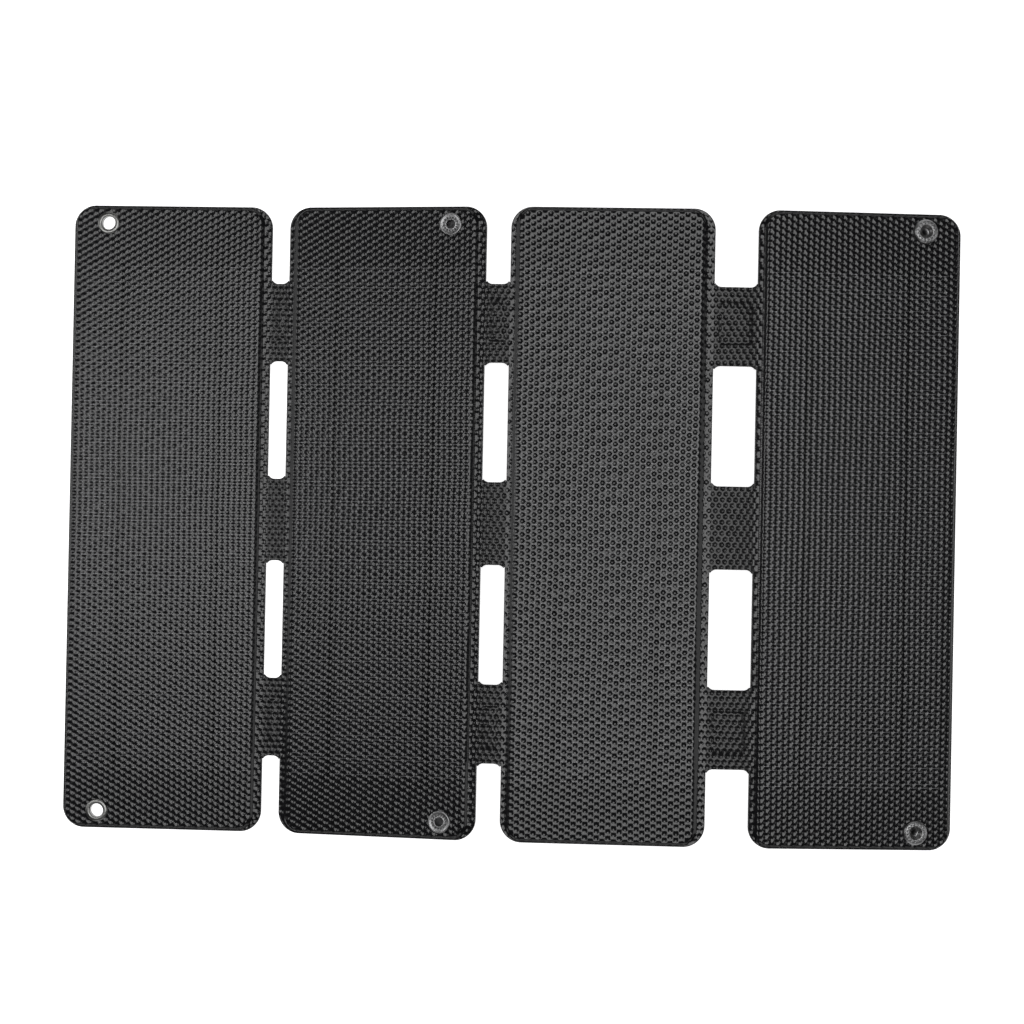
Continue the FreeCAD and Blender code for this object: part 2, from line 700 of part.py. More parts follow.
def build_port_flap():
    """The splash flap over the ports, its knuckle, and the pin that it turns on."""
    low, knuckle, high = flap_levels()
    knuckle_height = "(%s - %s - dims.flap_clear)" % (high, knuckle)
    plate_right = "(dims.flap_width / 2 - dims.flap_clear)"
    plate_y = "(%s - dims.flap_clear - dims.flap_thick)" % FRONT_WALL
    plate = block("flap_plate", ("-dims.flap_width / 2", plate_y, low),
                  ("dims.flap_width / 2 + " + plate_right, "dims.flap_thick", "dims.flap_height"))
    arm = block("flap_arm", (plate_right, plate_y, knuckle),
                (PIN_X + " - " + plate_right, "dims.flap_thick", knuckle_height))
    eye = disc("flap_knuckle", (PIN_X, PIN_Y), knuckle, "dims.knuckle_radius", knuckle_height)
    bore = disc("flap_bore", (PIN_X, PIN_Y), knuckle, "dims.knuckle_bore", knuckle_height)
    place(cut_away("port_flap", join("flap_joined", [plate, arm, eye]), [bore]), 3)
    pin = disc("flap_pin_rod", (PIN_X, PIN_Y), low, "dims.pin_radius", "dims.flap_height")
    place(group("flap_pin", [pin]), 3)


def usb_port(label, x, width, height, tongue):
    """One port: a thin shell open at the front, with the contact tongue inside."""
    front = FRONT_WALL + " + dims.usb_shell"
    shell = block(label + "_shell", (x + " - %s / 2" % width, front, BOARD_FACE + " - " + height),
                  (width, "dims.usb_depth", height))
    cavity = block(label + "_cavity",
                   (x + " - %s / 2 + dims.usb_shell" % width, front,
                    BOARD_FACE + " - %s + dims.usb_shell" % height),
                   (width + " - 2 * dims.usb_shell", "dims.usb_depth - dims.usb_shell",
                    height + " - 2 * dims.usb_shell"))
    reach = "(dims.usb_depth - 2 * dims.usb_shell)"
    blade = block(label + "_tongue",
                  (x + " - %s / 2 + 2 * dims.usb_shell" % width, front + " + 2 * dims.usb_shell",
                   BOARD_FACE + " - (%s + %s) / 2" % (height, tongue)),
                  (width + " - 4 * dims.usb_shell", reach, tongue))
    return join(label, [cut_away(label + "_hollow", shell, [cavity]), blade])


# converter parts on the board, in millimetres: middle x and y, side or radius, height
BOARD_PARTS = ((-12, -8, 14, 6.5), (10, -8, 9, 1.6), (-12, 20, 7, 1.2), (12, 32, 14, 5.5))
CAPACITORS = ((10, 10, 4, 7), (20, 10, 4, 7), (-20, 36, 5, 6.5))


def build_electronics():
    """The converter board on its rails, its parts, and the charging ports at its front edge."""
    board = block("circuit_board_sheet", ("-dims.circuit_width / 2", "-dims.circuit_length / 2", BOARD_FACE),
                  ("dims.circuit_width", "dims.circuit_length", "dims.circuit_thick"))
    place(group("circuit_board", [board]), 3)
    port_a = [usb_port("usb_a_%d" % number, factor + " * dims.usb_a_pitch",
                       "dims.usb_a_width", "dims.usb_a_height", "dims.usb_tongue")
              for number, factor in ((1, "-1"), (2, "0"))]
    place(group("usb_a_ports", port_a), 3)
    place(usb_port("usb_c_port", "dims.usb_a_pitch", "dims.usb_c_width", "dims.usb_c_height",
                   "dims.usb_c_tongue"), 3)
    parts = []
    for number, (x, y, side, tall) in enumerate(BOARD_PARTS, start=1):
        low = (str(x - side / 2), str(y - side / 2), "%s - %s" % (BOARD_FACE, tall))
        parts.append(block("board_block_%d" % number, low, (str(side), str(side), str(tall))))
    for number, (x, y, radius, tall) in enumerate(CAPACITORS, start=1):
        parts.append(disc("capacitor_%d" % number, (str(x), str(y)), "%s - %s" % (BOARD_FACE, tall),
                          str(radius), str(tall)))
    place(group("board_parts", parts), 3)


def build_screws_and_feet():
    """Four cover screws, driven from below, and four rubber feet."""
    screws = []
    for number, centre in enumerate(four_corners("dims.boss_inset"), start=1):
        head = (BOX_FLOOR, "dims.screw_head", "dims.screw_head_height")
        shank = (BOX_FLOOR, "dims.screw_core", "dims.screw_head_height + dims.screw_length")
        screws.append(turned("cover_screw_%d" % number, centre, [head, shank], []))
    place(group("cover_screws", screws), 3)
    feet = []
    for number, centre in enumerate(four_corners("dims.foot_inset"), start=1):
        feet.append(disc("foot_%d" % number, centre, "-dims.box_depth",
                         "dims.foot_radius", "dims.foot_thick"))
    place(group("box_feet", feet), 3)


# ---------------------------------------------------------------- assembly

def check_document():
    """Stop if any object failed to build, or a piece has no valid shape."""
    for thing in doc.Objects:
        if "Invalid" in thing.State or "Error" in thing.State:
            raise ValueError("%s did not build: %s" % (thing.Label, thing.State))
    for piece in NODES:
        if piece.Shape.isNull() or not piece.Shape.isValid() or piece.Shape.Volume <= 0:
            raise ValueError(piece.Label + " has no valid shape")


def main():
    for number, leaf in enumerate(LEAVES, start=1):
        build_leaf(number, leaf)
    for gap in range(1, len(GAPS) + 1):
        build_web_half(gap, "left", gap)
        build_web_half(gap, "right", gap + 1)
    build_eyelets()
    build_snap_posts()
    build_snap_sockets()
    build_box_shells()
    build_port_flap()
    build_electronics()
    build_screws_and_feet()
    doc.recompute()
    check_document()
    os.makedirs("parts", exist_ok=True)
    for piece in NODES:
        piece.Shape.exportStep("parts/%s.step" % piece.Label)
    print("%d pieces, droop %.3f degrees" % (len(NODES), DROOP))
    for name, line in zip(GAPS, HINGE_LINES):
        print("%s hinge line at x %.4f z %.4f" % (name, line.x, line.z))


main()
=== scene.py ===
"""Looks of a four-leaf folding solar panel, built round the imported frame. Metres, Z up."""

import math

import bmesh
import bpy
import numpy as np
from mathutils import Matrix, Vector


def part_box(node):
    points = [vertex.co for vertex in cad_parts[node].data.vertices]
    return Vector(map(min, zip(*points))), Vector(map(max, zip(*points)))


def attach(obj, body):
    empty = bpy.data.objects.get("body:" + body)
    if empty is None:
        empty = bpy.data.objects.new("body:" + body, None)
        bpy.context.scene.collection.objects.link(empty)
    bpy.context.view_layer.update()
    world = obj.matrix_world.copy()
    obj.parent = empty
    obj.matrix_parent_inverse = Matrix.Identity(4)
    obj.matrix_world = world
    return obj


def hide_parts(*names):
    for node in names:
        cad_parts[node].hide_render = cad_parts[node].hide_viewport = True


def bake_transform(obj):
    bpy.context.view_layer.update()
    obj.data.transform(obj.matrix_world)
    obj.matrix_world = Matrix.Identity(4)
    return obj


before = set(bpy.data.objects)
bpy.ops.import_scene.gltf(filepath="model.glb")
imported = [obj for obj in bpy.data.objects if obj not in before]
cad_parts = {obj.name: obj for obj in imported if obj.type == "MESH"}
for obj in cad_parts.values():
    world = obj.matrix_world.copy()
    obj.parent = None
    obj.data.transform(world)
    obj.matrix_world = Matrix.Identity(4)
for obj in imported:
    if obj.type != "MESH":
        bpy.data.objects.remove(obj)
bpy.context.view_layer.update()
MM = 0.001

# ---------------------------------------------------------------- driving sizes

# embossing of the film: round pits in a triangular layout
PIT_PITCH = 4.0 * MM
FINE = PIT_PITCH / math.sqrt(3) / 3  # spacing of the film's mesh points, three to each pit's corner
WEB_FINE = FINE / 2
PIT_WAVE = 4 * math.pi / math.sqrt(3) / PIT_PITCH  # radians for each metre across a row of pits
LOWEST_WAVES = -1.5  # the three waves' sum where three pits meet
PIT_DEPTH = 0.46 * MM
PIT_UNEVEN = 0.22
PIT_UNEVEN_REACH = 9.0 * MM
PIT_WANDER = 0.35 * MM
PIT_WANDER_REACH = 60.0 * MM
TRIM_SHARE = 0.3  # how near to an outline a mesh point may lie, as a share of the spacing
GRAIN_HEIGHT = 0.010 * MM  # random height of each mesh point, which breaks up the highlights

# film over each leaf, heights above the leaf's back face
FILM_BOTTOM = 0.8 * MM
FLANGE_TOP = 1.6 * MM
ZONE_TOP = 3.2 * MM
ZONE_RAMP = 2.3 * MM
END_RAMP = 1.0 * MM
LEDGE_WIDTH = 0.5 * MM  # a narrow level ledge halfway down the ramp, beside the webs
ZONE_CORNER = 9.0 * MM
LEAF_CORNER = 13.2 * MM
LEFT_FLANGE = 4.4 * MM
RIGHT_FLANGE = 6.0 * MM
OUTER_FLANGE = 1.5 * MM
END_FLANGE = 1.6 * MM
RIM_ROUND = 0.35 * MM
RIM_PULL = 0.8  # the most that the rounding moves a rim point towards the mesh inside it, as a share of the way
EMBOSS_FADE = 0.9 * MM
JOINED = 0.98  # how much of the rim's rounding goes where a web carries on from the leaf
# holes under the fasteners: leaf, then the fastener's node and the hole's radius
FILM_HOLES = {1: ("eyelets", 5.1 * MM), 2: ("post_caps", 2.85 * MM), 4: ("snap_sockets", 2.9 * MM)}

# webs between the leaves
SLOT_CORNER = 4.2 * MM
MIDDLE_BRIDGE = 50.6 * MM
END_BRIDGE = 48.2 * MM
END_NOTCH = 47.5 * MM
WEB_THICK = 1.6 * MM
WEB_BOTTOM = 0.05 * MM
WEB_EMBOSS = 0.85
WEB_SEED = 10
PATCH_HIGH = 27.0 * MM
PATCH_MIDDLE = 124.0 * MM
PATCH_INSET = 2.4 * MM
PATCH_CORNER = 2.0 * MM
PATCH_RISE = 0.4 * MM
PATCH_RAMP = 2.5 * MM
PUCKER_PITCH = 14.0 * MM
PUCKER_DEPTH = 0.10 * MM
PUCKER_SEED = 40
CONDUCTOR_HEIGHT = 0.6 * MM
CONDUCTOR_THICK = 0.3 * MM
CONDUCTOR_STEPS = 60
PAST_HALF_TURN = (2, 3)  # gaps that fold by more than half a turn from rest
FOLD_LINE = 0.002 * MM  # half the width of the line that such a gap folds in
FOLD_LINE_SHIFT = WEB_FINE / 4  # keeps the line between two columns of mesh points

# cell print seen through the film
FINGER_PITCH = 2.4 * MM
CELL_ROWS = 315.0 * MM
CELL_WIDTH = 108.6 * MM
BUS_PLACE = 30.75 * MM
BUS_WIDTH = 3.2 * MM
BUS_EDGE = 0.3 * MM

# film finish
FILM_COLOUR = (0.0040, 0.0040, 0.0045, 1)
SILICON_COLOUR = (0.0055, 0.0055, 0.0065, 1)
BUS_COLOUR = (0.0025, 0.0025, 0.003, 1)
FINGER_COLOUR = (0.20, 0.20, 0.21, 1)
FINGER_STRENGTH = 0.55
FINGER_SHARE = 0.13
FINGER_LOW = 0.16 * MM  # how far below the crests the fingers stop showing
FINGER_HIGH = 0.03 * MM
LENS_SHIFT = 0.25 * MM
FILM_ROUGH = 0.16
WEB_ROUGH = 0.25
FILM_GLOSS = 0.5
WEB_GLOSS = 0.42
RUBBED_FILM = (0.020, 0.020, 0.021, 1)

# profiles of the turned fasteners: radius and height over the leaf's back face, in millimetres;
# dots: radius of their ring, radius and depth of each dot, in millimetres
EYELET = [(4.15, -0.7), (4.15, 3.3), (4.2, 3.6), (4.45, 3.85), (4.9, 3.98), (5.5, 4.0), (6.1, 3.9), (6.6, 3.7),
          (6.9, 3.45), (7.0, 3.25), (6.95, 3.2), (5.0, 3.2), (4.9, 3.1), (4.9, -0.7)]
EYELET_BACK = [(4.95, 0.0), (4.95, -0.55), (5.1, -0.75), (5.5, -0.8), (6.3, -0.8), (6.8, -0.65), (7.0, -0.35),
               (7.0, 0.0)]
POST = [(2.5, -0.1), (2.5, 3.3), (2.6, 3.55), (2.8, 3.75), (3.1, 3.8), (3.4, 3.74), (3.6, 3.66), (3.8, 3.64),
        (4.0, 3.64), (4.2, 3.64), (4.4, 3.64), (4.6, 3.64), (4.8, 3.64), (5.1, 3.66), (5.5, 3.78), (5.9, 3.93),
        (6.3, 3.95), (6.7, 3.78), (6.9, 3.45), (6.9, 3.2), (2.9, 3.2), (2.9, -0.1)]
POST_DOTS = (4.2, 0.65, 0.5)
STUD = [(0.02, -1.7), (2.3, -1.7), (2.3, 0.0), (5.6, 0.0), (5.6, -0.5), (5.4, -0.6), (2.95, -0.6), (2.95, -1.3),
        (3.35, -1.6), (3.35, -1.9), (3.1, -2.2), (0.02, -2.2)]
SOCKET = [(2.3, 3.2), (2.3, 3.8), (3.85, 3.8), (3.85, 4.1), (4.7, 4.4), (4.7, 5.2), (4.0, 5.6), (3.85, 5.9),
          (3.95, 6.1), (4.3, 6.2), (4.8, 6.2), (5.0, 6.2), (5.2, 6.2), (5.4, 6.19), (5.6, 6.17), (5.8, 6.13),
          (6.3, 6.0), (6.9, 5.6), (7.3, 5.0), (7.5, 4.2), (7.6, 3.5), (7.6, 3.2)]
SOCKET_DOTS = (5.3, 0.55, 0.35)
DOTS_ROUND = 15  # pressed dots in the ring round each snap's middle
POINTS_A_DOT = 12  # mesh points round a fastener for each dot
SOCKET_BACK = [(0.02, 0.0), (0.02, -0.9), (0.02, -2.0), (4.5, -1.95), (6.2, -1.7), (7.1, -1.2), (7.5, -0.6),
               (7.6, 0.0)]

# studio
CAMERA_PLACE = (0.0840, -0.0042, 1.4121)
CAMERA_TURN = (0.537, 3.289, 1.125)
CAMERA_LENS = 80.4
CAMERA_SENSOR = 36.0
WORLD_STRENGTH = 0.04
LAMPS = [
    # name, place, aim, width, length, radiance
    ("overhead", (-0.15, 0.10, 3.0), (-0.15, 0.10, 0.0), 0.7, 1.56, 3.8),
    ("overhead_right", (0.60, 0.10, 3.0), (0.60, 0.10, 0.0), 0.8, 1.56, 5.0),
    ("overhead_left", (-0.56, 0.10, 3.0), (-0.56, 0.10, 0.0), 0.12, 1.56, 9.5),
    ("low_left", (-0.535, 0.028, 0.6), (-0.535, 0.028, 0.0), 0.24, 0.25, 5.0),
    ("left_wall", (-2.2, 0.3, 1.0), (0.0, 0.0, 0.0), 1.2, 2.4, 1.2),
    ("right_wall", (2.2, -0.3, 1.0), (0.0, 0.0, 0.0), 1.2, 2.4, 1.2),
    ("far_wall", (0.0, 2.3, 1.0), (0.0, 0.0, 0.0), 2.4, 1.2, 1.2),
    ("near_wall", (0.0, -2.3, 1.0), (0.0, 0.0, 0.0), 2.4, 1.2, 1.2),
]
FLOOR_GLOW = 0.8
FLOOR_REACH = 6.0

LEAVES = (1, 2, 3, 4)
GAPS = (1, 2, 3)
SMALL = 1e-9
SLOPE_REACH = 0.02 * MM  # step over which an outline's slope is taken
FLATTEST_SLOPE = 0.05  # keeps a point from leaping where two outlines meet


# ---------------------------------------------------------------- leaf frames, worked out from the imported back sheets

def node_size(name):
    """A node's lowest and highest corner as arrays."""
    low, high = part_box(name)
    return np.array(low), np.array(high)


def leaf_size():
    """Width, height and thickness of the level third back sheet."""
    low, high = node_size("back_sheet_3")
    return high - low


LEAF_WIDTH, LEAF_HEIGHT, BACK_THICK = leaf_size()
RISES = {1: 0, 2: -1, 3: 0, 4: 1}  # which way each leaf leans at rest about +Y
HINGED = {1: (0, 1), 2: (1, 1), 3: (1, 1), 4: (1, 0)}  # whether a web joins the left and the right edge


def leaf_frame(number):
    """Matrix from leaf coordinates (across, along, above its back face) to the row frame."""
    low, high = node_size("back_sheet_%d" % number)
    diagonal = math.hypot(LEAF_WIDTH, BACK_THICK)
    lean = 0.0
    if RISES[number]:
        tilt = math.asin((high[2] - low[2]) / diagonal) - math.atan2(BACK_THICK, LEAF_WIDTH)
        lean = RISES[number] * tilt
    middle = Matrix.Translation(Vector((low + high) / 2))
    return middle @ Matrix.Rotation(lean, 4, "Y") @ Matrix.Translation((0, 0, -BACK_THICK / 2))


LEAF_FRAMES = {number: leaf_frame(number) for number in LEAVES}


def to_row(points, matrix):
    """Points of one leaf in the row frame."""
    turn = np.array(matrix.to_3x3())
    return points @ turn.T + np.array(matrix.translation)


# ---------------------------------------------------------------- mesh helpers

def smooth(value):
    """0 below 0, 1 above 1, an even S between."""
    t = np.clip(value, 0, 1)
    return t * t * (3 - 2 * t)


def rounded_box(x, y, half_x, half_y, radius):
    """Signed distance to a rounded rectangle, negative inside."""
    qx = np.abs(x) - (half_x - radius)
    qy = np.abs(y) - (half_y - radius)
    outside = np.hypot(np.maximum(qx, 0), np.maximum(qy, 0))
    return outside + np.minimum(np.maximum(qx, qy), 0) - radius


def onto_outline(x, y, distance, steps=4):
    """Moves points onto the line where distance is 0, along its own slope."""
    for _ in range(steps):
        d = distance(x, y)
        gx = (distance(x + SLOPE_REACH, y) - distance(x - SLOPE_REACH, y)) / (2 * SLOPE_REACH)
        gy = (distance(x, y + SLOPE_REACH) - distance(x, y - SLOPE_REACH)) / (2 * SLOPE_REACH)
        size = np.maximum(gx * gx + gy * gy, FLATTEST_SLOPE)
        x = x - d * gx / size
        y = y - d * gy / size
    return x, y


def lattice(half_x, half_y, spacing):
    """Rows of a triangular lattice over a rectangle: x, y and the triangles' corners."""
    row_step = spacing * math.sqrt(3) / 2
    rows = int(half_y / row_step) + 2
    columns = int(half_x / spacing) + 2
    j, i = np.mgrid[-rows:rows + 1, -columns:columns + 1]
    x = (i + (j % 2) / 2) * spacing
    y = j * row_step
    wide = 2 * columns + 1
    start = (np.arange(2 * rows)[:, None] * wide + np.arange(2 * columns)[None, :])
    odd = (np.arange(-rows, rows) % 2 == 1)[:, None] & np.ones_like(start, bool)
    a, b, c, d = start, start + 1, start + wide, start + wide + 1
    even_tris = np.stack([np.stack([a, b, c], -1), np.stack([b, d, c], -1)], 2)
    odd_tris = np.stack([np.stack([a, b, d], -1), np.stack([a, d, c], -1)], 2)
    tris = np.where(odd[..., None, None], odd_tris, even_tris).reshape(-1, 3)
    return x.ravel(), y.ravel(), tris


def wander(x, y, reach, rng):
    """A slow drift between -1 and 1, of three crossed waves about reach long."""
    total = 0.0
    for _ in range(3):
        turn, phase = rng.uniform(0, 2 * math.pi, 2)
        total = total + np.sin((x * math.cos(turn) + y * math.sin(turn)) * 2 * math.pi / reach + phase)
    return total / 3


def emboss(x, y, seed):
    """Depth of the pressed pits below the film's face: three crossed waves, stacked along y."""
    rng = np.random.default_rng(seed)
    across = x + PIT_WANDER * wander(x, y, PIT_WANDER_REACH, rng)
    along = y + PIT_WANDER * wander(x, y, PIT_WANDER_REACH, rng)
    waves = 0.0
    for turn in (0, math.pi / 3, 2 * math.pi / 3):
        waves = waves + np.cos((across * math.cos(turn) + along * math.sin(turn)) * PIT_WAVE)
    depth = PIT_DEPTH * (1 + PIT_UNEVEN * wander(x, y, PIT_UNEVEN_REACH, rng))
    return -depth * (waves - LOWEST_WAVES) / (3 - LOWEST_WAVES) + rng.normal(0, GRAIN_HEIGHT, np.shape(x))


def edge_use(tris):
    """Directed border edges of a triangle mesh: those with no partner running the other way."""
    edges = np.concatenate([tris[:, (0, 1)], tris[:, (1, 2)], tris[:, (2, 0)]])
    big = int(tris.max()) + 1
    forward = edges[:, 0].astype(np.int64) * big + edges[:, 1]
    back = edges[:, 1].astype(np.int64) * big + edges[:, 0]
    return edges[~np.isin(forward, back)]


def trimmed(x, y, tris, distance, margin):
    """The lattice inside the outline, with its border points and the outline points they stitch to."""
    keep = distance(x, y) < -margin
    tris = tris[keep[tris].all(1)]
    used, tris = np.unique(tris, return_inverse=True)
    tris = tris.reshape(-1, 3)
    x, y = x[used], y[used]
    border = edge_use(tris)
    rim_of = np.unique(border)
    place = np.full(len(x), -1)
    place[rim_of] = np.arange(len(rim_of))
    rim_x, rim_y = onto_outline(x[rim_of], y[rim_of], distance)
    return x, y, tris, border, place, rim_x, rim_y


def crisp_edges(mesh, crisp):
    """Marks the edges between two crisp points as sharp, so that the wall below doesn't shade the face."""
    ends = np.empty(2 * len(mesh.edges), np.int32)
    mesh.edges.foreach_get("vertices", ends)
    mark = mesh.attributes.new("sharp_edge", "BOOLEAN", "EDGE")
    mark.data.foreach_set("value", crisp[ends].reshape(-1, 2).all(1))


def mesh_from(name, points, triangles, quads, place=None, crisp=None):
    """A smooth mesh of triangles and quads; place is kept as the pattern coordinate of each point."""
    mesh = bpy.data.meshes.new(name)
    faces = len(triangles) + len(quads)
    corners = np.concatenate([triangles.ravel(), quads.ravel()]).astype(np.int32)
    totals = np.concatenate([np.full(len(triangles), 3), np.full(len(quads), 4)]).astype(np.int32)
    mesh.vertices.add(len(points))
    mesh.vertices.foreach_set("co", points.astype(np.float32).ravel())
    mesh.loops.add(len(corners))
    mesh.loops.foreach_set("vertex_index", corners)
    mesh.polygons.add(faces)
    mesh.polygons.foreach_set("loop_start", np.concatenate([[0], np.cumsum(totals)[:-1]]).astype(np.int32))
    mesh.update(calc_edges=True)
    mesh.polygons.foreach_set("use_smooth", np.ones(faces, bool))
    if place is not None:
        spot = mesh.attributes.new("pattern_place", "FLOAT_VECTOR", "POINT")
        spot.data.foreach_set("vector", place.astype(np.float32).ravel())
    if crisp is not None:
        crisp_edges(mesh, crisp)
    mesh.validate()
    piece = bpy.data.objects.new(name, mesh)
    bpy.context.scene.collection.objects.link(piece)
    return piece


def sheet_shell(half_x, half_y, spacing, distance, top, bottom, round_off, doubled):
    """A closed embossed sheet: lattice face, rounded rim and wall, as points (x, y, height) and faces.
    A doubled sheet has the same lattice below; another is left open there, from the returned point on."""
    x, y, tris = lattice(half_x, half_y, spacing)
    x, y, tris, border, place, rim_x, rim_y = trimmed(x, y, tris, distance, TRIM_SHARE * spacing)
    rim_top, drop = top(rim_x, rim_y), round_off(rim_x, rim_y)
    in_x, in_y = x[place >= 0], y[place >= 0]
    share = np.clip(drop / np.maximum(np.hypot(in_x - rim_x, in_y - rim_y), SMALL), 0, RIM_PULL)
    floor = np.full(len(rim_x), bottom)
    loops = [
        (x, y, top(x, y)),
        (rim_x + (in_x - rim_x) * share, rim_y + (in_y - rim_y) * share, rim_top),
        (rim_x, rim_y, rim_top - drop),
        (rim_x, rim_y, floor),
    ]
    if doubled:
        loops.append((x, y, np.full(len(x), bottom)))
    parts = [np.stack(loop, 1) for loop in loops]
    starts = np.cumsum([0] + [len(part) for part in parts])
    a, b = border[:, 0], border[:, 1]
    a_rim, b_rim = place[a], place[b]
    quads = [np.stack([b, a, starts[1] + a_rim, starts[1] + b_rim], 1)]
    for level in (1, 2):
        high, low = starts[level], starts[level + 1]
        quads.append(np.stack([high + b_rim, high + a_rim, low + a_rim, low + b_rim], 1))
    if doubled:
        quads.append(np.stack([starts[3] + b_rim, starts[3] + a_rim, starts[4] + a, starts[4] + b], 1))
        tris = np.concatenate([tris, tris[:, ::-1] + starts[4]])
    crisp = np.zeros(starts[-1], bool)
    crisp[starts[1]:starts[2]] = crisp[starts[2]:starts[3]] = drop < RIM_ROUND / 2
    return np.concatenate(parts), tris, np.concatenate(quads), crisp


def close_under(piece):
    """Fills the open underside with plain faces."""
    work = bmesh.new()
    work.from_mesh(piece.data)
    open_edges = [edge for edge in work.edges if edge.is_boundary]
    filled = bmesh.ops.triangle_fill(work, edges=open_edges, use_beauty=False)["geom"]
    bmesh.ops.recalc_face_normals(work, faces=[g for g in filled if isinstance(g, bmesh.types.BMFace)])
    work.to_mesh(piece.data)
    work.free()


def face_outwards(piece):
    """Turns every face of a closed piece to the outside."""
    work = bmesh.new()
    work.from_mesh(piece.data)
    bmesh.ops.recalc_face_normals(work, faces=work.faces)
    work.to_mesh(piece.data)
    work.free()


# ---------------------------------------------------------------- the embossed film of one leaf

END_TOP = LEAF_HEIGHT / 2 - END_NOTCH


def into_bridge(y):
    """How far a point along the leaf's edge lies inside the nearest web, negative beside slots and notches."""
    up = np.abs(y)
    return np.maximum(MIDDLE_BRIDGE / 2 - up, np.minimum(END_TOP - up, up - END_TOP + END_BRIDGE))


def spots(node, number):
    """The two places of a fastener node on its leaf, in leaf coordinates."""
    inverse = np.array(LEAF_FRAMES[number].inverted())
    found = []
    co = np.array([v.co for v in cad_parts[node].data.vertices])
    for end in (-1, 1):
        local = co[co[:, 1] * end > 0] @ inverse[:3, :3].T + inverse[:3, 3]
        found.append((local.min(0) + local.max(0)) / 2)
    return found


def film_outline(number):
    """Signed distance to the leaf's outline, with the holes under its fasteners."""
    node, radius = FILM_HOLES.get(number, (None, 0.0))
    holes = spots(node, number) if node else []

    def distance(x, y):
        d = rounded_box(x, y, LEAF_WIDTH / 2, LEAF_HEIGHT / 2, LEAF_CORNER)
        for hole in holes:
            d = np.maximum(d, radius - np.hypot(x - hole[0], y - hole[1]))
        return d

    return distance


def zone_distance(number, x, y):
    """Signed distance to the raised zone's edge, positive inside."""
    left = OUTER_FLANGE if number == 1 else LEFT_FLANGE
    right = OUTER_FLANGE if number == 4 else RIGHT_FLANGE
    middle = (left - right) / 2
    half = (LEAF_WIDTH - left - right) / 2
    return -rounded_box(x - middle, y, half, LEAF_HEIGHT / 2 - END_FLANGE, ZONE_CORNER)


def zone_rise(number, x, y):
    """0 on the flange, 1 on the raised zone; the ramp between has a ledge where the webs are welded on."""
    d = zone_distance(number, x, y)
    hinged = np.where(x < 0, HINGED[number][0], HINGED[number][1])
    beside = hinged * smooth((LEAF_HEIGHT / 2 - END_FLANGE - np.abs(y)) / ZONE_CORNER)
    ramp = END_RAMP + (ZONE_RAMP - END_RAMP) * beside
    plain = smooth(d / ramp + 0.5)
    step = (ZONE_RAMP - LEDGE_WIDTH) / 2
    stepped = (smooth((d + ZONE_RAMP / 2) / step) + smooth((d - LEDGE_WIDTH / 2) / step)) / 2
    welded = hinged * ((x < 0) | (np.abs(y) < END_TOP)) * (beside > JOINED)
    return plain + (stepped - plain) * welded


def film_top(number):
    """Height of the film's face over the leaf's back face."""
    outline = film_outline(number)
    half_gaps = [Gap(gap).width / 2 if gap in GAPS else 0.0 for gap in (number - 1, number)]

    def flange_pits(x, y):
        from_gap = np.where(x < 0, x + LEAF_WIDTH / 2 + half_gaps[0], x - LEAF_WIDTH / 2 - half_gaps[1])
        sides = [emboss(y, from_gap, WEB_SEED + gap) for gap in (number - 1, number)]
        return WEB_EMBOSS * np.where(x < 0, sides[0], sides[1])

    def top(x, y):
        rise = zone_rise(number, x, y)
        hinged = np.where(x < 0, HINGED[number][0], HINGED[number][1])
        free = np.maximum(smooth(-outline(x, y) / EMBOSS_FADE), smooth(into_bridge(y) / EMBOSS_FADE) * hinged)
        level = 1 - 4 * rise * (1 - rise)
        pits = np.where(rise > 0.5, emboss(x, y, number), flange_pits(x, y))
        return FLANGE_TOP + (ZONE_TOP - FLANGE_TOP) * rise + pits * free * level

    return top


def build_film(number, material):
    """The film over one leaf, in one closed piece."""

    def round_off(x, y):
        at_side = np.abs(x) > LEAF_WIDTH / 2 - RIM_ROUND
        hinged = np.where(x < 0, HINGED[number][0], HINGED[number][1])
        return RIM_ROUND * (1 - JOINED * (into_bridge(y) > 0) * hinged * at_side)

    points, tris, quads, crisp = sheet_shell(
        LEAF_WIDTH / 2, LEAF_HEIGHT / 2, FINE, film_outline(number), film_top(number), FILM_BOTTOM,
        round_off, False)
    piece = mesh_from("film_%d" % number, to_row(points, LEAF_FRAMES[number]), tris, quads, points, crisp)
    close_under(piece)
    piece.data.materials.append(material)
    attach(piece, "panel_%d" % number)
    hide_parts("front_film_%d" % number)


# ---------------------------------------------------------------- webs that bend between two leaves

